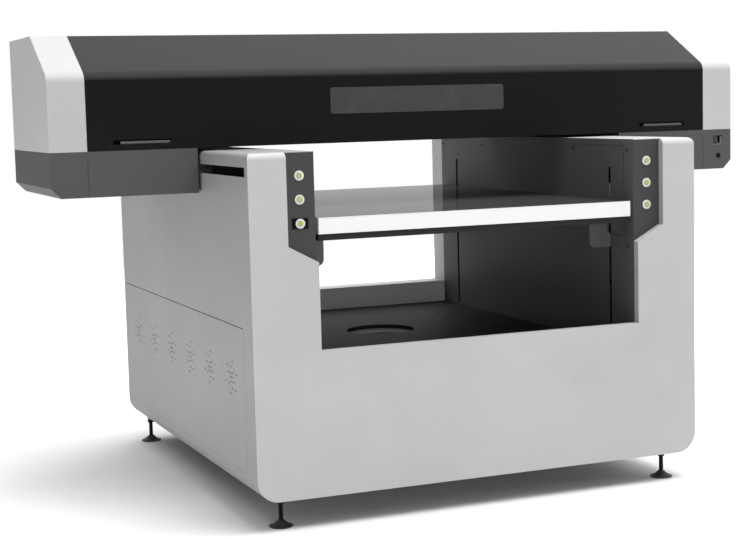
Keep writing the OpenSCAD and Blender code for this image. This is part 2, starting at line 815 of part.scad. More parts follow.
module hood_hinge_pins() color(steel) {
    for (hx = hinge_x) {
        rod_x(hinge_y, hinge_z, hx - knuckle_w / 2 - 30, hx + knuckle_w / 2 + 30, hinge_pin_r);
        for (s = [-1, 1]) {
            x0 = min(s * (knuckle_w / 2 + 1), s * (knuckle_w / 2 + 31));
            rod_x(hinge_y, hinge_z, hx + x0, hx + x0 + 30, hinge_r);
            block([hx + x0, hinge_y, hinge_z - 6], [hx + x0 + 30, gantry_y1 - sheet - 0.02, hinge_z]);
        }
    }
}

// ---------- carriage ----------

module carriage_body() color("silver") {
    x0 = carriage_x - carriage_w / 2;
    x1 = carriage_x + carriage_w / 2;
    difference() {
        block([x0, 505, head_z + 14], [x1, beam_y - 22, 1098]);
        block([x0 + 3, 508, head_z + 20], [x1 - 3, beam_y - 30, 1095]);
        for (x = [-75, -25, 25, 75])
            block([carriage_x + x - 19, 531, head_z + 10], [carriage_x + x + 19, 603, head_z + 24]);
    }
    // sliders on the two rails
    for (z = [beam_z + 25, beam_z + beam_w - 25], x = [x0 + 20, x1 - 80]) difference() {
        block([x, beam_y - 22.5, z - 17], [x + 60, beam_y - 2, z + 17]);
        block([x - over, beam_y - 12 - running, z - 7.5 - running],
            [x + 60 + over, beam_y, z + 7.5 + running]);
    }
    // clamp that holds the belt
    difference() {
        block([carriage_x - 20, beam_y - 30, 1088],
            [carriage_x + 20, x_pulley_y - x_pulley_r + 4, x_belt_z + 20]);
        block([carriage_x - 21, x_pulley_y - x_pulley_r - 4, x_belt_z - 4],
            [carriage_x + 21, x_pulley_y - x_pulley_r + 5, x_belt_z + 17]);
        block([carriage_x - 21, beam_y - 21, 1087], [carriage_x + 21, x_pulley_y, beam_z + beam_w + 3]);
    }
}

module print_heads() color("dimgray") {
    for (x = [-75, -25, 25, 75]) {
        block([carriage_x + x - 18.5, 531.5, head_z], [carriage_x + x + 18.5, 602.5, head_z + 70]);
        block([carriage_x + x - 12, 545, head_z + 70], [carriage_x + x + 12, 590, head_z + 110]);
    }
}

module uv_lamps() color([0.35, 0.35, 0.37]) {
    for (x = [-1, 1] * 118) difference() {
        block([carriage_x + x - 21, 512, head_z + 1], [carriage_x + x + 21, 640, head_z + 13.98]);
        block([carriage_x + x - 14, 522, head_z], [carriage_x + x + 14, 630, head_z + 6]);
    }
}

// ---------- the nodes ----------

on_feet() {
    chassis_frame();
    front_cover();
    rear_cover();
    mirror([1, 0, 0]) side_cover();  // left_side_cover
    side_cover();  // right_side_cover
    mirror([1, 0, 0]) service_panel();  // left_service_panel
    service_panel();  // right_service_panel
    mirror([1, 0, 0]) inner_wall();  // left_inner_wall
    inner_wall();  // right_inner_wall
    floor_panel();
    button_bezels();
    foot_stems();
    foot_pads();
    y_rails_and_racks();
    lift_motor();
    lift_belt();
    screw_bearings();
    vacuum_blower();
    electronics_box();
    power_inlet();
    cover_screws();
    table_bed();
    table_top();
    table_tray();
    lift_brackets();
    lift_nuts();
    lift_screw(-1, screw_y[0]);  // lift_screw_fl
    lift_screw(1, screw_y[0]);  // lift_screw_fr
    lift_screw(-1, screw_y[1]);  // lift_screw_rl
    lift_screw(1, screw_y[1]);  // lift_screw_rr
    lift_drive_pulley();
    gantry_beam();
    gantry_end_frames();
    y_bearing_blocks();
    gantry_motors();
    mirror([1, 0, 0]) end_cap();  // left_end_cap
    end_cap();  // right_end_cap
    mirror([1, 0, 0]) lower_housing();  // left_lower_housing
    right_lower_housing();
    gantry_rear_cover();
    x_rails();
    x_belt();
    capping_station();
    ink_bottles();
    pinion(-1);  // left_pinion
    pinion(1);  // right_pinion
    hood_shell();
    hood_pulls();
    hood_hinge_pins();
    carriage_body();
    print_heads();
    uv_lamps();
    x_pulley(-x_pulley_x, 28);  // x_drive_pulley
    x_pulley(x_pulley_x, 20);  // x_idler_pulley
    push_button(-1, 0);  // button_left_top
    push_button(-1, 1);  // button_left_middle
    push_button(-1, 2);  // button_left_bottom
    push_button(1, 0);  // button_right_top
    push_button(1, 1);  // button_right_middle
    push_button(1, 2);  // button_right_bottom
}
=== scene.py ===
"""Looks of the flatbed UV printer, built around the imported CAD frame. Metres, +Z up, front to -Y."""
import json
import math

import bmesh
import bpy
from mathutils import Matrix, Vector


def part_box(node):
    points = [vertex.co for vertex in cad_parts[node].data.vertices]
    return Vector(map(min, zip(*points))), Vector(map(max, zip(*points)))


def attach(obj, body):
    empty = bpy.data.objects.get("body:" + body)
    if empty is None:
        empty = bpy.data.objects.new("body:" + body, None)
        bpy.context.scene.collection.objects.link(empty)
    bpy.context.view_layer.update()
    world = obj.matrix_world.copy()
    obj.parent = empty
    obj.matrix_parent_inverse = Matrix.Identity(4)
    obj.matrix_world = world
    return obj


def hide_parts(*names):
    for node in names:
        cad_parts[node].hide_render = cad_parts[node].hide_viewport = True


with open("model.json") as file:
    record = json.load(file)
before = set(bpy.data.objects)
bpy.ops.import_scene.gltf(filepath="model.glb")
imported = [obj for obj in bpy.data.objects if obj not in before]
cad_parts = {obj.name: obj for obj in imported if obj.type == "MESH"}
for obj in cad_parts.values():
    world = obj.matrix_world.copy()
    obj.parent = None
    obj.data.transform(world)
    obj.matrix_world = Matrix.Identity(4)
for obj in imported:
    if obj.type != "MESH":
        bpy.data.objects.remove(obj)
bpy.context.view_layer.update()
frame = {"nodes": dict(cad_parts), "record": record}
NODES = frame["nodes"]
SCENE = bpy.context.scene
SLOT = {row["node"]: row["material_slot"] for row in frame["record"]["subparts"]}


# ---------- shader helpers ----------

class Shader:
    """A small builder around one material's node tree."""

    def __init__(self, name):
        self.material = bpy.data.materials.new(name)
        self.material.use_nodes = True
        self.nodes = self.material.node_tree.nodes
        self.links = self.material.node_tree.links
        self.bsdf = self.nodes["Principled BSDF"]

    def node(self, kind, **values):
        made = self.nodes.new(kind)
        for key, value in values.items():
            if key in made.inputs:
                made.inputs[key].default_value = value
            else:
                setattr(made, key, value)
        return made

    def link(self, source, target):
        self.links.new(source, target)

    def coords(self, stretch=None):
        source = self.node("ShaderNodeTexCoord").outputs["Object"]
        if stretch is None:
            return source
        mapping = self.node("ShaderNodeMapping")
        mapping.inputs["Scale"].default_value = stretch
        self.link(source, mapping.inputs["Vector"])
        return mapping.outputs["Vector"]

    def noise(self, scale, detail=3.0, roughness=0.55, stretch=None):
        """Noise in object space, in cells per metre, optionally stretched."""
        made = self.node("ShaderNodeTexNoise", Scale=scale, Detail=detail, Roughness=roughness)
        self.link(self.coords(stretch), made.inputs["Vector"])
        return made.outputs["Fac"]

    def bands(self, scale, direction="Z", profile="SIN"):
        """Parallel bands across one axis, such as threads and belt teeth."""
        made = self.node("ShaderNodeTexWave", Scale=scale, wave_type="BANDS",
                         bands_direction=direction, wave_profile=profile)
        self.link(self.coords(), made.inputs["Vector"])
        return made.outputs["Fac"]

    def span(self, source, low, high, a=0.35, b=0.65):
        """source mapped from a..b to low..high."""
        made = self.node("ShaderNodeMapRange")
        made.inputs["From Min"].default_value = a
        made.inputs["From Max"].default_value = b
        made.inputs["To Min"].default_value = low
        made.inputs["To Max"].default_value = high
        self.link(source, made.inputs["Value"])
        return made.outputs["Result"]

    def math(self, operation, a, b):
        made = self.node("ShaderNodeMath", operation=operation)
        for socket, value in zip(made.inputs, (a, b)):
            if isinstance(value, bpy.types.NodeSocket):
                self.link(value, socket)
            else:
                socket.default_value = value
        return made.outputs[0]

    def mix(self, fac, a, b):
        made = self.node("ShaderNodeMix", data_type="RGBA")
        for key, value in ((6, a), (7, b)):
            if isinstance(value, bpy.types.NodeSocket):
                self.link(value, made.inputs[key])
            else:
                made.inputs[key].default_value = (*value, 1)
        if isinstance(fac, bpy.types.NodeSocket):
            self.link(fac, made.inputs[0])
        else:
            made.inputs[0].default_value = fac
        return made.outputs[2]

    def edges(self, radius=0.0012):
        """1 along outer edges, where paint rubs thin, broken up by noise."""
        bevel = self.node("ShaderNodeBevel", samples=4, Radius=radius)
        geometry = self.node("ShaderNodeNewGeometry")
        dot = self.node("ShaderNodeVectorMath", operation="DOT_PRODUCT")
        self.link(bevel.outputs["Normal"], dot.inputs[0])
        self.link(geometry.outputs["Normal"], dot.inputs[1])
        edge = self.span(dot.outputs["Value"], 1, 0, 0.82, 0.98)
        return self.math("MULTIPLY", edge, self.span(self.noise(60), 0, 1, 0.4, 0.6))

    def facing(self, axis):
        """One component of the object-space normal: Z is 1 on surfaces that face up."""
        parts = self.node("ShaderNodeSeparateXYZ")
        self.link(self.node("ShaderNodeTexCoord").outputs["Normal"], parts.inputs[0])
        return parts.outputs[axis]

    def set(self, **values):
        for key, value in values.items():
            socket = self.bsdf.inputs[key.replace("_", " ")]
            if isinstance(value, bpy.types.NodeSocket):
                self.link(value, socket)
            elif isinstance(value, tuple):
                socket.default_value = (*value, 1)
            else:
                socket.default_value = value

    def bump(self, height, strength, distance, below=None):
        made = self.node("ShaderNodeBump", Strength=strength, Distance=distance)
        self.link(height, made.inputs["Height"])
        if below is not None:
            self.link(below, made.inputs["Normal"])
        return made.outputs["Normal"]


def shade(colour, factor):
    """A colour made lighter or darker."""
    return tuple(min(1.0, c * factor) for c in colour)


# ---------- materials ----------

def powder_coat(name, colour, roughness, grain=700, strength=0.35, wear=0.35, gloss=0.5, front=None):
    """Textured powder coat: orange-peel grain, faint clouding, dust specks and rubbed edges.

    The factor front, where given, paints the faces towards the front that many times as light as the
    rest: above 1 it is painted light, below 1 painted shade."""
    s = Shader(name)
    fine = s.noise(grain)
    clouds = s.noise(3.5)
    specks = s.noise(grain * 0.4, 2.0, 0.7)
    base = s.mix(s.span(clouds, 0, 1), shade(colour, 0.965), shade(colour, 1.035))
    base = s.mix(s.span(specks, 0, 0.4, 0.48, 0.78), base, shade(colour, 0.8))
    base = s.mix(s.math("MULTIPLY", s.edges(), wear), base, shade(colour, 1.35))
    if front is not None:
        # painted light and shade: faces towards the front get their own shade, set by front
        base = s.mix(s.span(s.facing("Y"), 1, 0, -0.9, -0.5), base, shade(colour, front))
    s.set(Base_Color=base, Roughness=s.span(fine, roughness - 0.05, roughness + 0.08))
    s.set(Specular_IOR_Level=gloss, Normal=s.bump(fine, strength, 0.0004))
    return s.material


def satin_paint(name, colour, roughness=0.3, wear=0.4, gloss=0.5, upper=None):
    """Satin paint with a fine grain over a shallow ripple, faint smears and rubbed edges.

    The factor upper, where given, paints the faces that look upwards that many times lighter: painted
    light for the light that falls on them from above."""
    s = Shader(name)
    ripple = s.noise(30, 2.0)
    grain = s.noise(420, 2.0)
    smear = s.noise(9, 4.0, 0.6, (1, 1, 3))
    base = s.mix(s.span(grain, 0, 1), shade(colour, 0.9), shade(colour, 1.1))
    base = s.mix(s.math("MULTIPLY", s.edges(), wear), base, shade(colour, 2.4))
    # painted light: faces that look up get a lighter shade, set by upper
    if upper is not None:
        base = s.mix(s.span(s.facing("Z"), 0, 1, 0.1, 0.35), base, shade(colour, upper))
    s.set(Base_Color=base, Roughness=s.span(smear, roughness - 0.015, roughness + 0.02))
    below = s.bump(ripple, 0.012, 0.0004)
    s.set(Specular_IOR_Level=gloss, Normal=s.bump(grain, 0.22, 0.0003, below))
    return s.material


def brushed(name, colour, roughness, stretch=(2, 220, 220), metallic=0.5):
    """Brushed or ground metal: long fine scratches along one axis, with duller patches."""
    s = Shader(name)
    lines = s.noise(14, 5.0, 0.65, stretch)
    patches = s.noise(9)
    base = s.mix(s.span(lines, 0, 1, 0.3, 0.7), shade(colour, 0.84), shade(colour, 1.08))
    base = s.mix(s.span(patches, 0, 0.35), base, shade(colour, 0.72))
    s.set(Base_Color=base, Metallic=metallic)
    s.set(Roughness=s.span(lines, roughness - 0.07, roughness + 0.12, 0.3, 0.7))
    s.set(Normal=s.bump(lines, 0.18, 0.0002))
    return s.material


def moulded(name, colour, roughness=0.5, grain=1400, strength=0.3, gloss=0.5):
    """Moulded plastic with a spark-eroded grain and scuffed edges."""
    s = Shader(name)
    fine = s.noise(grain, 2.0)
    scuff = s.noise(22, 5.0, 0.7)
    base = s.mix(s.span(scuff, 0, 0.5, 0.5, 0.7), colour, shade(colour, 1.6))
    base = s.mix(s.math("MULTIPLY", s.edges(0.0008), 0.5), base, shade(colour, 2.2))
    s.set(Base_Color=base, Roughness=s.span(scuff, roughness - 0.05, roughness + 0.12))
    s.set(Specular_IOR_Level=gloss, Normal=s.bump(fine, strength, 0.0002))
    return s.material


def threaded(name, colour, pitch, roughness=0.35):
    """Black or bright steel with thread-like rings of the given pitch along Z."""
    s = Shader(name)
    rings = s.bands(0.314 / pitch, "Z", "TRI")
    grime = s.noise(40, 4.0)
    base = s.mix(s.span(grime, 0, 0.6), colour, shade(colour, 0.55))
    s.set(Base_Color=base, Metallic=0.9, Roughness=s.span(grime, roughness, roughness + 0.2))
    s.set(Normal=s.bump(rings, 0.8, pitch * 0.5))
    return s.material


def rubber(name, axis, pitch):
    """Black rubber belt with moulded teeth across its run and chalky wear."""
    s = Shader(name)
    teeth = s.bands(0.314 / pitch, axis, "SIN")
    chalk = s.noise(70, 4.0)
    s.set(Base_Color=s.mix(s.span(chalk, 0, 0.5), (0.012, 0.012, 0.012), (0.05, 0.05, 0.05)))
    s.set(Roughness=s.span(chalk, 0.6, 0.85), Normal=s.bump(teeth, 0.5, 0.001))
    return s.material


def table_coat(name):
    """Polished grey hard coat on top, the white edge coat on the sides."""
    s = Shader(name)
    polish = s.noise(5, 5.0, 0.6, (1, 6, 1))
    hair = s.noise(30, 4.0, 0.7, (4, 60, 4))
    top = s.mix(s.span(polish, 0, 1), (0.026, 0.027, 0.0275), (0.031, 0.032, 0.033))
    base = s.mix(s.span(s.facing("Z"), 0, 1, 0.5, 0.6), (0.62, 0.62, 0.61), top)
    s.set(Base_Color=base, Roughness=s.span(hair, 0.05, 0.1, 0.3, 0.7))
    s.set(IOR=1.022, Normal=s.bump(hair, 0.015, 0.0001))
    return s.material


def edge_coat(name):
    """Clean white gloss enamel with a faint brush line and handling marks."""
    s = Shader(name)
    marks = s.noise(18, 5.0, 0.7)
    fine = s.noise(400, 2.0)
    base = s.mix(s.span(marks, 0, 0.25, 0.55, 0.75), (0.62, 0.62, 0.61), (0.54, 0.54, 0.53))
    s.set(Base_Color=base, Roughness=s.span(marks, 0.28, 0.4), Normal=s.bump(fine, 0.08, 0.0003))
    return s.material


def clear_plastic(name, colour, transmission, roughness=0.15, emission=0.0):
    """Tinted translucent plastic with flow lines."""
    s = Shader(name)
    flow = s.noise(90, 3.0)
    s.set(Base_Color=s.mix(s.span(flow, 0, 1), shade(colour, 0.88), shade(colour, 1.08)))
    s.set(Transmission_Weight=transmission, IOR=1.49, Roughness=s.span(flow, roughness, roughness + 0.1))
    s.set(Normal=s.bump(flow, 0.1, 0.0003))
    if emission:
        s.set(Emission_Color=colour, Emission_Strength=emission)
    return s.material


def film(name):
    """Clear film printed with fine dark graduations across its length."""
    s = Shader(name)
    marks = s.bands(160, "X", "SAW")
    haze = s.noise(60, 3.0)
    s.set(Base_Color=s.mix(s.span(marks, 0, 1, 0.45, 0.55), (0.5, 0.5, 0.48), (0.03, 0.03, 0.03)))
    s.set(Roughness=s.span(haze, 0.12, 0.28), Normal=s.bump(haze, 0.05, 0.0002))
    return s.material


LOOK = {
    "cover_paint": powder_coat("cover_paint", (0.36, 0.36, 0.358), 0.45, strength=0.5),
    "dark_paint": powder_coat("dark_paint", (0.05, 0.051, 0.051), 0.5, grain=900, strength=0.3),
    # painted light: the hood's upward faces are painted 4.1 times lighter than its front
    "hood_paint": satin_paint("hood_paint", (0.0049, 0.0053, 0.0052), 0.33, 0.1, 0.13, upper=4.1),
    "tray_paint": satin_paint("tray_paint", (0.02, 0.02, 0.02), 0.6, gloss=0.1),
    "frame_paint": satin_paint("frame_paint", (0.19, 0.20, 0.21), 0.45),
    "ground_steel": brushed("ground_steel", (0.60, 0.61, 0.63), 0.28, (220, 220, 3)),
    "aluminium": brushed("aluminium", (0.70, 0.71, 0.72), 0.38),
    "table_white": edge_coat("table_white"),
    "table_plate": table_coat("table_plate"),
    "foot_black": threaded("foot_black", (0.035, 0.035, 0.035), 0.00175),
    "foot_plastic": moulded("foot_plastic", (0.022, 0.021, 0.019), 0.5),
    "black_plastic": moulded("black_plastic", (0.022, 0.022, 0.023), 0.45),
    "belt_rubber": rubber("belt_rubber", "X", 0.005),
    "bezel_white": moulded("bezel_white", (0.5, 0.5, 0.48), 0.22, 300, 0.05),
    "button_olive": clear_plastic("button_olive", (0.36, 0.36, 0.15), 0.1),
    "bronze": brushed("bronze", (0.55, 0.38, 0.16), 0.35, (60, 60, 60)),
    "bottle": clear_plastic("bottle", (0.84, 0.84, 0.82), 0.35, 0.3),
    "lamp": moulded("lamp", (0.03, 0.03, 0.032), 0.35, 700, 0.15),
}

# looks of the nodes that differ from the rest of their slot
SCREW_LOOK = threaded("lift_screw", (0.5, 0.5, 0.51), 0.01, 0.25)
# the inner walls' own dark coat, with painted shade: their faces towards the front are painted 0.54 times
# as light
WALL_LOOK_SHADED_FRONT = powder_coat("wall_paint_shaded_front", (0.079, 0.08, 0.08), 0.55, 900, 0.3, gloss=0.15, front=0.54)
FLOOR_LOOK = powder_coat("floor_paint", (0.024, 0.024, 0.024), 0.6, 900, 0.3, gloss=0.15)
# painted light: the lift brackets get a lighter copy of the dark paint, for the shade they sit in under
# the table
BRACKET_LOOK_PAINTED_LIGHT = powder_coat("bracket_painted_light", (0.08, 0.081, 0.081), 0.5, 900, 0.3, gloss=0.3)
# painted shade: the lower housings' sides and tops are painted darker than their fronts, which get 2.3
# times this shade
HOUSING_LOOK_SHADED_SIDES = powder_coat("housing_paint_shaded_sides", (0.026, 0.0264, 0.0264), 0.5, 900, 0.3, gloss=0.2, front=2.3)
# painted shade: the left side cover and its panel get a darker copy of the cover paint than the right
# ones
LEFT_SIDE_SHADED_LOOK = powder_coat("left_side_painted_shade", (0.235, 0.235, 0.234), 0.45, strength=0.5, gloss=0.2)
PULL_LOOK = satin_paint("pull_paint", (0.20, 0.19, 0.175), 0.4, wear=0.3, gloss=0.35)
NODE_LOOK = {
    "floor_panel": FLOOR_LOOK, "left_inner_wall": WALL_LOOK_SHADED_FRONT, "right_inner_wall": WALL_LOOK_SHADED_FRONT,
    "left_side_cover": LEFT_SIDE_SHADED_LOOK, "left_service_panel": LEFT_SIDE_SHADED_LOOK,
    "left_lower_housing": HOUSING_LOOK_SHADED_SIDES, "right_lower_housing": HOUSING_LOOK_SHADED_SIDES,
    "lift_brackets": BRACKET_LOOK_PAINTED_LIGHT, "hood_pulls": PULL_LOOK,
}
NODE_LOOK.update({f"lift_screw_{corner}": SCREW_LOOK for corner in ("fl", "fr", "rl", "rr")})

# looks of the pieces that are added below
INLET_LOOK = powder_coat("inlet_paint", (0.065, 0.065, 0.065), 0.6, 900, 0.3, gloss=0.3)
# painted light: grey for the lit inner walls of the housing socket's recess
SOCKET_LOOK_PAINTED_LIGHT = moulded("socket_grey_painted_light", (0.085, 0.085, 0.086), 0.5)
PITCH_BLACK = moulded("switch_black", (0.004, 0.004, 0.005), 0.7, 900, 0.2, gloss=0.08)
SWITCH_GREY = moulded("switch_grey", (0.24, 0.24, 0.24), 0.5)
FOAM_LOOK = moulded("gasket_foam", (0.02, 0.02, 0.021), 0.9, 500, 0.8)
FILTER_LOOK = moulded("filter_mat", (0.085, 0.085, 0.085), 0.95, 500, 0.9, gloss=0.1)
SPONGE_LOOK = moulded("sponge", (0.62, 0.6, 0.55), 0.9, 600, 0.9)
FILM_LOOK = film("encoder_film")
DIODE_LOOK = clear_plastic("diodes", (0.35, 0.26, 0.6), 0.2, 0.12, 0.15)
GLASS_LOOK = clear_plastic("lamp_glass", (0.9, 0.9, 0.95), 0.95, 0.02)
BLACK_OXIDE = brushed("black_oxide", (0.03, 0.03, 0.031), 0.38, (90, 90, 90), 0.8)

# bevel width in mm of each node that has visible edges
BEVEL = {
    "front_cover": 1.2, "rear_cover": 1.2, "left_side_cover": 0.6, "right_side_cover": 0.6,
    "button_bezels": 0.8, "foot_pads": 0.8, "foot_stems": 0.6,
    "table_bed": 0.8, "table_top": 0.6, "table_tray": 0.6,
    "lift_brackets": 0.8, "left_end_cap": 1.4, "right_end_cap": 1.4,
    "gantry_rear_cover": 0.6, "hood_shell": 0.6, "hood_pulls": 1.5,
    "carriage_body": 1.0, "print_heads": 0.8, "uv_lamps": 0.8, "gantry_beam": 0.8,
    "gantry_end_frames": 0.8, "y_bearing_blocks": 0.6, "gantry_motors": 1.5, "lift_motor": 1.5,
    "capping_station": 0.8, "power_inlet": 0.6, "chassis_frame": 1.0, "electronics_box": 0.8,
    "lift_nuts": 0.8, "screw_bearings": 0.8, "vacuum_blower": 1.0, "ink_bottles": 1.2,
}
for side in ("left", "right"):
    for row in ("top", "middle", "bottom"):
        BEVEL[f"button_{side}_{row}"] = 0.8

CRISP = math.radians(32)             # edges that turn by more than this stay edges


def soften(obj, width_mm):
    """Joins the split corners, rounds the sharp edges and evens out the shading."""
    weld = obj.modifiers.new("weld", "WELD")
    weld.merge_threshold = 0.00001
    bevel = obj.modifiers.new("bevel", "BEVEL")
    bevel.width = width_mm / 1000
    bevel.segments = 2
    bevel.limit_method = "ANGLE"
    bevel.angle_limit = CRISP
    normals = obj.modifiers.new("normals", "WEIGHTED_NORMAL")
    normals.keep_sharp = True


for name, node in NODES.items():
    node.data.materials.clear()
    node.data.materials.append(NODE_LOOK.get(name, LOOK[SLOT[name]]))
    if name in BEVEL:
        node.data.polygons.foreach_set("use_smooth", [True] * len(node.data.polygons))
        soften(node, BEVEL[name])


# ---------- mesh helpers ----------

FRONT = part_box("front_cover")[0].y   # the cabinet's front face
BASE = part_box("front_cover")[0].z    # its underside
X, Y, Z = Vector((1, 0, 0)), Vector((0, 1, 0)), Vector((0, 0, 1))


def at(x, y, z):
    """A point in metres from millimetres right of the middle, behind the front and above BASE."""
    return Vector((x / 1000, FRONT + y / 1000, BASE + z / 1000))


def cad(node):
    """Low and high corner of a CAD node in the same millimetres, the way back from at()."""
    return [(corner - at(0, 0, 0)) * 1000 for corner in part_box(node)]


def add_box(bm, low, high):
    """A box between two opposite corners."""
    low, high = Vector(low), Vector(high)
    size = high - low
    matrix = Matrix.Translation((low + high) / 2) @ Matrix.Diagonal((*size, 1))
    bmesh.ops.create_cube(bm, size=1, matrix=matrix)


def add_prism(bm, outline, origin, across, up, depth):
    """Extrudes an outline, given in mm along across and up, by the vector depth."""
    base = [bm.verts.new(Vector(origin) + across * u / 1000 + up * v / 1000) for u, v in outline]
    far = [bm.verts.new(v.co + depth) for v in base]
    bm.faces.new(base)
    bm.faces.new(far[::-1])
    for i, v in enumerate(base):
        j = (i + 1) % len(base)
        bm.faces.new((v, far[i], far[j], base[j]))


def add_lathe(bm, profile, origin, axis, segments=32):
    """Turns (radius, height) pairs in mm about axis into a solid, or into a ring if they close."""
    axis = Vector(axis).normalized()
    side = axis.orthogonal().normalized()
    other = axis.cross(side)
    rings = []
    for radius, height in profile:
        centre = Vector(origin) + axis * height / 1000
        if radius == 0:
            rings.append([bm.verts.new(centre)])
            continue
        angles = [2 * math.pi * i / segments for i in range(segments)]
        rings.append([bm.verts.new(centre + (side * math.cos(a) + other * math.sin(a)) * radius / 1000)
                      for a in angles])
    for low, high in zip(rings, rings[1:]):
        for i in range(segments):
            j = (i + 1) % segments
            corners = [low[i % len(low)], low[j % len(low)], high[j % len(high)], high[i % len(high)]]
            bm.faces.new(list(dict.fromkeys(corners)))
    for ring in (rings[0], rings[-1]):
        if len(ring) > 1 and profile[0] != profile[-1]:
            bm.faces.new(ring)


def rounded(width, height, radius, steps=5):
    """Outline in mm of a rectangle with round corners, centred."""
    points = []
    for k, (sx, sy) in enumerate(((1, 1), (-1, 1), (-1, -1), (1, -1))):
        for i in range(steps + 1):
            a = math.radians(90 * (k + i / steps))
            points.append((sx * (width / 2 - radius) + radius * math.cos(a),
                           sy * (height / 2 - radius) + radius * math.sin(a)))
    return points


def piece(bm, name, body, look, bevel_mm=0.0, smooth=True, stands_for=()):
    """Turns bm into a piece that rides on body, with smooth shading between its crisp edges."""
    bmesh.ops.remove_doubles(bm, verts=bm.verts, dist=1e-7)
    bmesh.ops.recalc_face_normals(bm, faces=bm.faces)
    mesh = bpy.data.meshes.new(name)
    bm.to_mesh(mesh)
    bm.free()
    obj = bpy.data.objects.new(name, mesh)
    mesh.materials.append(look)
    SCENE.collection.objects.link(obj)
    if smooth:
        mesh.polygons.foreach_set("use_smooth", [True] * len(mesh.polygons))
        mesh.set_sharp_from_angle(angle=CRISP)
    if bevel_mm:
        soften(obj, bevel_mm)
    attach(obj, body)
    if stands_for:
        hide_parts(*stands_for)
    return obj


def add_button_screw(bm, origin, axis, radius):
    """A domed screw head with a round socket, standing on origin and facing along axis."""
    profile = ((1, 0), (1, 0.16), (0.9, 0.32), (0.7, 0.44), (0.42, 0.5), (0.4, 0.18), (0, 0.18))
    add_lathe(bm, [(r * radius, h * radius) for r, h in profile], origin, axis, 24)


# ---------- cabinet details ----------

def panel_screws():
    """The black screws along the inner walls, in place of the plain CAD heads."""
    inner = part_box("right_inner_wall")[0].x
    columns, rows = (55, 367, 993, 1307), (345, 609, 889)
    bm = bmesh.new()
    for sign in (-1, 1):
        for y in columns:
            for z in rows:
                if z == rows[-1] or y in (columns[0], columns[-1]):
                    spot = at(0, y, z)
                    add_button_screw(bm, (sign * inner, spot.y, spot.z), (-sign, 0, 0), 4.6)
    piece(bm, "panel_screws", "cabinet", BLACK_OXIDE, stands_for=("cover_screws",))


def switch_backplate():
    """Black plate behind the lowest left button."""
    low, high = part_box("button_left_bottom")
    centre = (low + high) / 2
    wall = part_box("left_inner_wall")[0].y
    thick = 0.0008
    bm = bmesh.new()
    add_prism(bm, rounded(46, 29, 1.5), (centre.x, wall - thick, centre.z), X, Z, Y * thick)
    piece(bm, "switch_backplate", "cabinet", PITCH_BLACK)


def limit_switches():
    """Micro switches behind the front lift slots, seen through them."""
    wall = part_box("right_inner_wall")[0].x
    near, far = wall + 0.0026, wall + 0.0195
    low, high = at(0, 158.5, 746), at(0, 178, 788)
    bm = bmesh.new()
    for sign in (-1, 1):
        x = sorted((sign * near, sign * far))
        add_box(bm, (x[0], low.y, low.z), (x[1], high.y, high.z))
        for z in (low.z + 0.006, high.z - 0.007):
            add_lathe(bm, [(2.2, 0), (2.2, 1.0), (1.9, 1.4), (0, 1.4)],
                      (sign * (near + far) / 2, low.y, z), -Y, 16)
    piece(bm, "limit_switches", "cabinet", SWITCH_GREY, 0.2)


def wall_seams():
    """Outline of the access panels let into the inner walls."""
    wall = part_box("right_inner_wall")[0].x
    front, rear, bottom, top = 74, 1292, 640, 900      # edges of the panels
    bm = bmesh.new()
    for sign in (-1, 1):
        base, depth = X * sign * wall, X * -sign * 0.00025
        for z in (top, bottom):
            spot = base + at(0, (front + rear) / 2, z)
            add_prism(bm, rounded(rear - front, 1.0, 0.45), spot, Y, Z, depth)
        for y in (front, rear):
            spot = base + at(0, y, (bottom + top) / 2)
            add_prism(bm, rounded(1.2, top - bottom, 0.5), spot, Y, Z, depth)
    piece(bm, "wall_seams", "cabinet", BLACK_OXIDE, smooth=False)


def panel_gaskets():
    """Foam strips behind the seams round the side covers' service panels."""
    low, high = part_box("right_service_panel")
    gap, thick = 0.0002, 0.002
    edge, inner, lap = 0.009, 0.0035, 0.0002
    bm = bmesh.new()
    for sign in (-1, 1):
        x = sorted((sign * (low.x - gap), sign * (low.x - gap - thick)))
        for z0, z1 in ((low.z - edge, low.z + inner), (high.z - inner, high.z + edge)):
            add_box(bm, (x[0], low.y - edge, z0), (x[1], high.y + edge, z1))
        for y0, y1 in ((low.y - edge, low.y + inner), (high.y - inner, high.y + edge)):
            add_box(bm, (x[0] + lap, y0 + lap, low.z + inner - lap),
                    (x[1] - lap, y1 - lap, high.z - inner + lap))
    piece(bm, "panel_gaskets", "cabinet", FOAM_LOOK, smooth=False)


def vent_filters():
    """Filter mats behind the vent rosettes of both service panels."""
    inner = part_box("right_service_panel")[0].x
    count, first, pitch, height = 6, 202, 205, 309     # of the rosettes
    bm = bmesh.new()
    for sign in (-1, 1):
        for k in range(count):
            spot = at(0, first + pitch * k, height)
            origin = (sign * (inner - 0.0003), spot.y, spot.z)
            add_prism(bm, rounded(112, 104, 12), origin, Y, Z, X * -sign * 0.002)
    piece(bm, "vent_filters", "cabinet", FILTER_LOOK, 0.4)


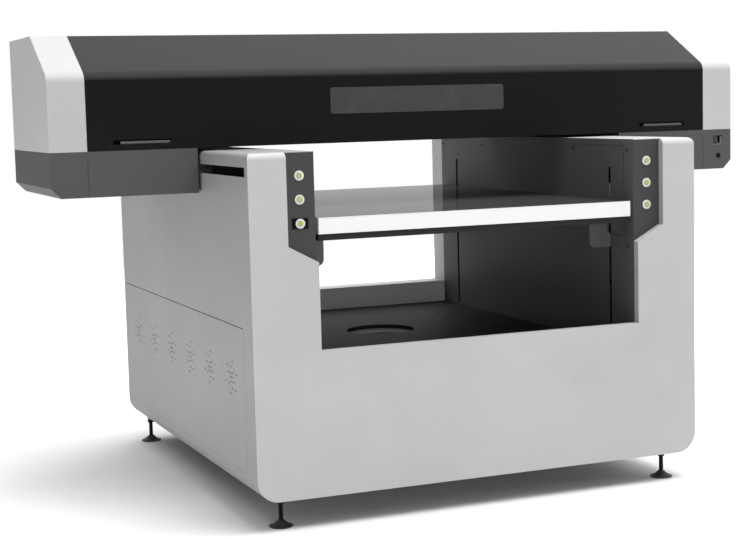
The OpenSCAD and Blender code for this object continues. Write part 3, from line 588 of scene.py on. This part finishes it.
def foot_threads():
    """The exposed threads of the levelling feet, one helix on each stem."""
    feet = ((-595, 59), (595, 59), (-626, 1314), (626, 1314))
    pitch, core, crest, flank = 1.75, 5.9, 6.45, 0.7
    steps = 20                                         # points in one turn
    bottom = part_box("foot_stems")[0].z + 0.001
    top = BASE - 0.0185                                # just below the lock nuts
    count = int((top - bottom) * 1000 / pitch * steps)
    bm = bmesh.new()
    for x, y in feet:
        centre = at(x, y, 0)
        rows = []
        for i in range(count):
            a = 2 * math.pi * i / steps
            out = X * math.cos(a) + Y * math.sin(a)
            base = Vector((centre.x, centre.y, bottom + i / steps * pitch / 1000))
            rows.append([bm.verts.new(base + (out * radius + Z * rise) / 1000)
                         for radius, rise in ((core, -flank), (crest, 0), (core, flank))])
        for lower, upper in zip(rows, rows[1:]):
            for i, j in ((0, 1), (1, 2), (2, 0)):
                bm.faces.new((lower[i], upper[i], upper[j], lower[j]))
        bm.faces.new(rows[0])
        bm.faces.new(rows[-1])
    piece(bm, "foot_threads", "cabinet", BLACK_OXIDE, smooth=False)


def rear_screws():
    """Countersunk fixing screws, flush with the cabinet's rear cover."""
    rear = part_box("rear_cover")[1].y
    spots = ((650, 70), (650, 330), (650, 600), (650, 870), (500, 420), (500, 870), (300, 30))
    bm = bmesh.new()
    for sign in (-1, 1):
        for x, z in spots:
            spot = at(sign * x, 0, z)
            add_lathe(bm, [(2.2, -2.5), (4.2, 0), (4.1, 0.02), (0, 0.02)], (spot.x, rear, spot.z), Y, 24)
    piece(bm, "rear_screws", "cabinet", BLACK_OXIDE)


def suction_inlet():
    """Rubber collar from the bay floor's hole to the blower, and a round plate on spacers in it."""
    low, high = cad("vacuum_blower")
    blower, floor = high.z, cad("floor_panel")[0].z
    centre = at(0, (low.y + high.y) / 2, 0)
    bm = bmesh.new()
    add_lathe(bm, [(96.4, blower - 5), (99, blower - 5), (104, blower + 4), (101.5, blower + 7),
                   (114, blower + 15), (114, floor - 0.1), (111, floor - 0.1), (111, blower + 16),
                   (98.5, blower + 7.5), (101, blower + 4), (96.4, blower - 2), (96.4, blower - 5)],
              centre, Z, 64)
    piece(bm, "suction_collar", "cabinet", FOAM_LOOK)
    bm = bmesh.new()
    top = floor - 8
    add_lathe(bm, [(0, top - 2), (101, top - 2), (102, top - 1), (100, top), (63, top), (61, top - 0.8),
                   (57, top - 0.8), (55, top), (26, top), (24, top + 1.2), (0, top + 1.2)], centre, Z, 64)
    for k in range(3):
        a = math.radians(90 + 120 * k)
        spacer = centre + (X * math.cos(a) + Y * math.sin(a)) * 0.07
        add_lathe(bm, [(5, blower - 0.2), (5, top - 1.5)], spacer, Z, 16)
    piece(bm, "inlet_plate", "cabinet", INLET_LOOK)


# ---------- gantry and hood details ----------

def housing_socket():
    """Connector and round button let into the right housing."""
    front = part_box("right_lower_housing")[0].y
    spot = at(1049, 0, 892)
    bm = bmesh.new()
    add_box(bm, (spot.x - 0.0165, front + 0.001, spot.z - 0.0155),
            (spot.x + 0.001, front + 0.014, spot.z + 0.0155))
    add_box(bm, (spot.x - 0.013, front - 0.0006, spot.z - 0.011),
            (spot.x - 0.002, front + 0.003, spot.z + 0.011))
    piece(bm, "socket_body", "gantry", LOOK["black_plastic"], 0.6)
    # painted light: the grey L on the right and bottom stands in for the lit inner walls of the
    # connector's recess
    bm = bmesh.new()
    outline = [(-16.5, -15.5), (16.5, -15.5), (16.5, 13), (9, 13), (9, -8), (-16.5, -8)]
    add_prism(bm, outline, (spot.x, front + 0.0008, spot.z), X, Z, Y * 0.003)
    piece(bm, "socket_frame_painted_light", "gantry", SOCKET_LOOK_PAINTED_LIGHT, 0.5)
    spot = at(1051.5, 0, 844.5)
    spot.y = front
    bm = bmesh.new()
    add_lathe(bm, [(0, 12.6), (7.9, 12.6), (8.2, -0.8), (7.5, -0.8), (6.6, 0.4), (6.3, 4), (6.3, 12),
                   (0, 12)], spot, Y, 32)
    add_lathe(bm, [(0, -1.6), (3.8, -1.4), (4.9, -0.6), (5.0, 12)], spot, Y, 32)
    piece(bm, "housing_button", "gantry", PITCH_BLACK)


def housing_seams():
    """Seams between the inner and outer plates of the lower housings."""
    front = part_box("right_lower_housing")[0].y
    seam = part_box("gantry_end_frames")[1].x
    bottom, top = 806, 903
    bm = bmesh.new()
    for sign in (-1, 1):
        origin = (sign * seam, front, at(0, 0, (bottom + top) / 2).z)
        add_prism(bm, rounded(1.0, top - bottom, 0.45), origin, X, Z, Y * -0.0003)
    piece(bm, "housing_seams", "gantry", BLACK_OXIDE, smooth=False)


def hood_plate():
    """Plain blank plate on the hood's front, where such machines carry a name."""
    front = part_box("hood_shell")[0].y
    thick = 0.0012
    bm = bmesh.new()
    add_prism(bm, rounded(560, 76, 8), (0, front - thick, at(0, 0, 1050).z), X, Z, Y * thick)
    piece(bm, "hood_plate", "hood", LOOK["lamp"], 0.4)


def gantry_screws():
    """Screws along the gantry's rear cover."""
    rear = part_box("gantry_rear_cover")[1].y
    bm = bmesh.new()
    for sign in (-1, 1):
        for x in (970, 640, 320):
            for z in (950, 1200):
                spot = at(sign * x, 0, z)
                add_button_screw(bm, (spot.x, rear - 0.0001, spot.z), Y, 4.0)
    piece(bm, "gantry_screws", "gantry", BLACK_OXIDE)


# ---------- print carriage and machine details ----------

heads_low, heads_high = cad("print_heads")
CARRIAGE_X = (heads_low.x + heads_high.x) / 2      # middle of the parked carriage
HEAD_Y = (heads_low.y + heads_high.y) / 2          # middle of its print heads
HEAD_Z = heads_low.z                               # their underside
HEADS = (-75, -25, 25, 75)                         # the heads, measured from the carriage's middle
LAMPS = (-118, 118)                                # the curing lamps on either side of them
INKS = {"cyan": (0.01, 0.24, 0.55), "magenta": (0.5, 0.015, 0.16),
        "yellow": (0.72, 0.5, 0.02), "black": (0.015, 0.015, 0.016)}


def carriage_trim():
    """Cooling louvres, parting lines and screws on the carriage's front face."""
    face = cad("carriage_body")[0].y
    half, bottom, top = 131, 972, 1082                 # of the rectangle of parting lines
    bm = bmesh.new()
    for side in (-1, 1):
        for k in range(6):
            spot = at(CARRIAGE_X + side * 78, face, 1000 + 13 * k)
            add_prism(bm, rounded(72, 5, 2.4), spot, X, Z, Y * -0.0006)
    for z in (bottom, top):
        add_prism(bm, rounded(2 * half, 1.2, 0.5), at(CARRIAGE_X, face, z), X, Z, Y * -0.0004)
    for x in (-half, half):
        spot = at(CARRIAGE_X + x, face, (bottom + top) / 2)
        add_prism(bm, rounded(1.2, top - bottom, 0.5), spot, X, Z, Y * -0.0004)
    piece(bm, "carriage_louvres", "carriage", PITCH_BLACK, 0.15, smooth=False)
    bm = bmesh.new()
    for x in (-122, 0, 122):
        for z in (bottom - 10, top + 8):
            add_button_screw(bm, at(CARRIAGE_X + x, face, z), -Y, 3.6)
    piece(bm, "carriage_screws", "carriage", BLACK_OXIDE)


def nozzle_plates():
    """Polished face of each print head, with its two rows of nozzles."""
    plates, rows = bmesh.new(), bmesh.new()
    for x in HEADS:
        spot = at(CARRIAGE_X + x, HEAD_Y, HEAD_Z)
        face = spot - Z * 0.0003
        add_prism(plates, rounded(33, 67, 3), spot, X, Y, face - spot)
        for dx in (-5.5, 5.5):
            add_prism(rows, rounded(1.6, 54, 0.7), face + X * dx / 1000, X, Y, Z * -0.0001)
    piece(plates, "nozzle_plates", "carriage", LOOK["bronze"])
    piece(rows, "nozzle_rows", "carriage", PITCH_BLACK, smooth=False)


def lamp_diodes():
    """Diodes of the two curing lamps behind their glass, in the lamps' recesses."""
    low, high = cad("uv_lamps")
    middle = (low.y + high.y) / 2
    diodes, glass = bmesh.new(), bmesh.new()
    for x in LAMPS:
        lamp = CARRIAGE_X + x
        for i in range(3):
            for j in range(12):
                spot = at(lamp - 8 + 8 * i, middle - 48 + 8.7 * j, HEAD_Z + 6)
                add_lathe(diodes, [(3.1, 0), (3.1, 0.8), (2.4, 1.0), (1.6, 1.9), (0, 2.2)], spot, -Z, 12)
        add_box(glass, at(lamp - 13.8, middle - 53.8, HEAD_Z + 1),
                at(lamp + 13.8, middle + 53.8, HEAD_Z + 2.2))
    piece(diodes, "lamp_diodes", "carriage", DIODE_LOOK)
    piece(glass, "lamp_glass", "carriage", GLASS_LOOK, 0.2)


def bottle_caps():
    """Ribbed screw caps of the ink bottles, each in the colour of its ink."""
    low, high = cad("ink_bottles")
    first, pitch = -1036, 66                           # of the row of bottles
    points = 96                                        # round a cap
    for i, (name, colour) in enumerate(INKS.items()):
        centre = at(first + pitch * i, (low.y + high.y) / 2, low.z + 97)
        bm = bmesh.new()
        rings = []
        for scale, z in ((0.97, 0), (1, 0.6), (1, 17), (0.94, 19.4)):
            ring = []
            for k in range(points):
                a = 2 * math.pi * k / points
                radius = (16.2 + (0.5 if k % 4 < 2 else 0)) * scale
                rim = X * radius * math.cos(a) + Y * radius * math.sin(a) + Z * z
                ring.append(bm.verts.new(centre + rim / 1000))
            rings.append(ring)
        for lower, upper in zip(rings, rings[1:]):
            for k in range(points):
                j = (k + 1) % points
                bm.faces.new((lower[k], lower[j], upper[j], upper[k]))
        bm.faces.new(rings[0][::-1])
        bm.faces.new(rings[-1])
        look = moulded(f"cap_{name}", colour, 0.35, 900, 0.15)
        piece(bm, f"bottle_cap_{name}", "gantry", look)


def motor_ends():
    """Cast end plates of the stepper motors, with their four screws."""
    pinion = cad("right_pinion")
    drive_y, drive_z = (pinion[0].y + pinion[1].y) / 2, (pinion[0].z + pinion[1].z) / 2
    near, far, thick = 711.5, 798, 9                   # end plates of the gantry's drive motors
    pulley = cad("x_drive_pulley")
    belt_x, belt_y = (pulley[0].x + pulley[1].x) / 2, (pulley[0].y + pulley[1].y) / 2
    lower, upper, thin = 1127, 1177.5, 8               # end plates of the carriage's belt motor
    plates, screws = bmesh.new(), bmesh.new()
    for sign in (-1, 1):
        for x in (near, far):
            spot = at(sign * x, drive_y, drive_z)
            add_prism(plates, rounded(80.6, 80.6, 7), spot, Y, Z, X * sign * thick / 1000)
        for y in (-31, 31):
            for z in (-31, 31):
                spot = at(sign * (far + thick), drive_y + y, drive_z + z)
                add_button_screw(screws, spot, (sign, 0, 0), 3.8)
    for z in (lower, upper):
        add_prism(plates, rounded(60.6, 60.6, 6), at(belt_x, belt_y, z), X, Y, Z * thin / 1000)
    for x in (-23, 23):
        for y in (-23, 23):
            add_button_screw(screws, at(belt_x + x, belt_y + y, upper + thin), Z, 2.4)
    piece(plates, "motor_ends", "gantry", LOOK["aluminium"], 0.6)
    piece(screws, "motor_screws", "gantry", BLACK_OXIDE)


def rail_plugs():
    """Plastic plugs that close the bolt holes of the carriage's two rails."""
    low, high = cad("x_rails")
    half = 7.5                                         # half a rail's height
    count, pitch = 25, 80                              # of its bolt holes
    bm = bmesh.new()
    for z in (low.z + half, high.z - half):
        for k in range(count):
            spot = at(pitch * (k - count // 2), low.y, z)
            add_lathe(bm, [(3.8, -0.3), (3.8, 0.01), (3.6, 0.03), (0, 0.03)], spot, -Y, 20)
    piece(bm, "rail_plugs", "gantry", PITCH_BLACK)


def encoder_strip():
    """Graduated film along the beam, with the lugs that stretch it."""
    low, high = cad("gantry_beam")
    face, middle, half = low.y, (low.z + high.z) / 2, 958
    bm = bmesh.new()
    add_box(bm, at(-half, face - 1.4, middle - 6), at(half, face - 0.9, middle + 6))
    piece(bm, "encoder_strip", "gantry", FILM_LOOK, smooth=False)
    bm = bmesh.new()
    for x in (-half - 6, half + 6):
        add_box(bm, at(x - 7, face - 3.5, middle - 10), at(x + 7, face - 0.1, middle + 10))
        add_lathe(bm, [(2.6, 0), (2.6, 0.6), (2.0, 1.2), (0, 1.2)], at(x, face - 3.5, middle), -Y, 16)
    piece(bm, "encoder_lugs", "gantry", LOOK["aluminium"], 0.2)


def cap_sponges():
    """Absorbent pads in the wells of the capping station."""
    well = cad("capping_station")[1].z - 8             # floor of the wells
    bm = bmesh.new()
    for x in HEADS:
        add_prism(bm, rounded(31.4, 65.4, 2), at(CARRIAGE_X + x, HEAD_Y, well + 0.02), X, Y, Z * 0.0042)
    piece(bm, "cap_sponges", "gantry", SPONGE_LOOK, 0.8)


def table_hole_shade_discs():
    """Black discs across the table's top plate in place of suction holes: painted shade, the plate has no
    holes.
    """
    top = cad("table_top")[1].z
    columns, rows, pitch, first = 23, 30, 40, 75
    bm = bmesh.new()
    for i in range(columns):
        for j in range(rows):
            spot = at(pitch * (i - columns // 2), first + pitch * j, top)
            # painted shade: a flat black disc, sunk 0.3 mm into the plate, for each hole
            add_lathe(bm, [(1.2, -0.3), (1.2, 0.04)], spot, Z, 10)
    piece(bm, "table_hole_shade_discs", "table", PITCH_BLACK, smooth=False)


def inlet_details():
    """Flange screws and rocker of the mains inlet."""
    low, high = cad("power_inlet")
    middle = at((low.x + high.x) / 2, high.y, (low.z + high.z) / 2)
    bm = bmesh.new()
    for x in (-29, 29):
        add_button_screw(bm, middle + X * x / 1000 - Y * 0.0013, Y, 3.0)
    piece(bm, "inlet_screws", "cabinet", BLACK_OXIDE)
    bm = bmesh.new()
    profile = [(0, -10.5), (0, 10.5), (0.3, 10.5), (-1.6, 0), (-2.4, -10.5)]
    add_prism(bm, profile, middle + Z * 0.02 - X * 0.0105 - Y * 0.0003, Y, Z, X * 0.021)
    piece(bm, "rocker", "cabinet", PITCH_BLACK, 0.4)


# ---------- stage, light and camera ----------

def stage_floor():
    """Pale floor, left out far behind the object, where the photo has only white."""
    s = Shader("stage_floor")
    grain = s.noise(3)
    s.set(Base_Color=s.mix(s.span(grain, 0, 1), (0.66, 0.66, 0.66), (0.68, 0.68, 0.68)))
    s.set(Roughness=0.9)
    far, side, back, start = 120, 12, 6.5, -2
    corners = [(-far, -far), (far, -far), (far, start), (side, start), (side, back), (start, back),
               (start, far), (-far, far)]
    bm = bmesh.new()
    bm.faces.new([bm.verts.new((x, y, 0)) for x, y in corners])
    mesh = bpy.data.meshes.new("stage_floor")
    bm.to_mesh(mesh)
    bm.free()
    floor = bpy.data.objects.new("stage_floor", mesh)
    floor.location = (0, 0, -0.0005)
    mesh.materials.append(s.material)
    SCENE.collection.objects.link(floor)


def studio_world():
    """White overhead, behind the object and to its right, dim in front of it and to its left."""
    world = bpy.data.worlds.new("studio")
    world.use_nodes = True
    nodes, links = world.node_tree.nodes, world.node_tree.links
    background = nodes["Background"]
    ramp = nodes.new("ShaderNodeMapRange")
    ramp.interpolation_type = "SMOOTHSTEP"
    brightest = (0.72, 0.58, 0.38)
    aim = nodes.new("ShaderNodeVectorMath")
    aim.operation = "DOT_PRODUCT"
    aim.inputs[1].default_value = brightest
    links.new(nodes.new("ShaderNodeTexCoord").outputs["Generated"], aim.inputs[0])
    limits = {"From Min": -0.6, "From Max": 0.45, "To Min": 0.14, "To Max": 1.0}
    for name, value in limits.items():
        ramp.inputs[name].default_value = value
    links.new(aim.outputs["Value"], ramp.inputs["Value"])
    links.new(ramp.outputs["Result"], background.inputs["Strength"])
    background.inputs["Color"].default_value = (1, 1, 1, 1)
    SCENE.world = world


def area(name, location, target, size, power):
    """A soft rectangular light that faces target and leaves no mirror image."""
    data = bpy.data.lights.new(name, "AREA")
    data.shape = "RECTANGLE"
    data.size, data.size_y = size
    data.energy = power
    light = bpy.data.objects.new(name, data)
    light.location = location
    light.visible_glossy = False
    aim = Vector(target) - Vector(location)
    light.rotation_euler = aim.to_track_quat("-Z", "Y").to_euler()
    SCENE.collection.objects.link(light)


def camera():
    """The photo's viewpoint, fitted to the cabinet's edges, with the photo's slight roll."""
    place = (-1.924, -4.5812, 1.1211)
    forward = Vector((0.37618, 0.92058, -0.10496)).normalized()
    sideways = Vector((0.92436, -0.38065, -0.02572)).normalized()
    up = sideways.cross(forward).normalized()
    right = forward.cross(up)
    data = bpy.data.cameras.new("camera")
    data.sensor_width = 36
    data.lens = 76.73
    cam = bpy.data.objects.new("camera", data)
    basis = Matrix((right, up, -forward)).transposed()
    cam.matrix_world = Matrix.Translation(place) @ basis.to_4x4()
    SCENE.collection.objects.link(cam)
    SCENE.camera = cam


for build in (panel_screws, switch_backplate, limit_switches, wall_seams, panel_gaskets, vent_filters,
              foot_threads, rear_screws, housing_socket, housing_seams, hood_plate, gantry_screws,
              carriage_trim, nozzle_plates, lamp_diodes, bottle_caps, motor_ends, rail_plugs,
              encoder_strip, cap_sponges, table_hole_shade_discs, inlet_details, suction_inlet):
    build()

stage_floor()
studio_world()
area("top", (0.9, -1.2, 5.2), (0.3, 0, 0.8), (4, 4), 470)
area("front", (-1.0, -5.2, 1.0), (0.1, 0.6, 0.5), (1.5, 0.8), 72)
area("back", (1.8, 5.6, 5.0), (1.8, 5.4, 0), (12, 5), 640)
area("low_left", (-1.95, -0.3, 0.1), (-0.65, -0.3, 0.1), (1.4, 0.15), 10)
camera()
SCENE.view_settings.view_transform = "Standard"
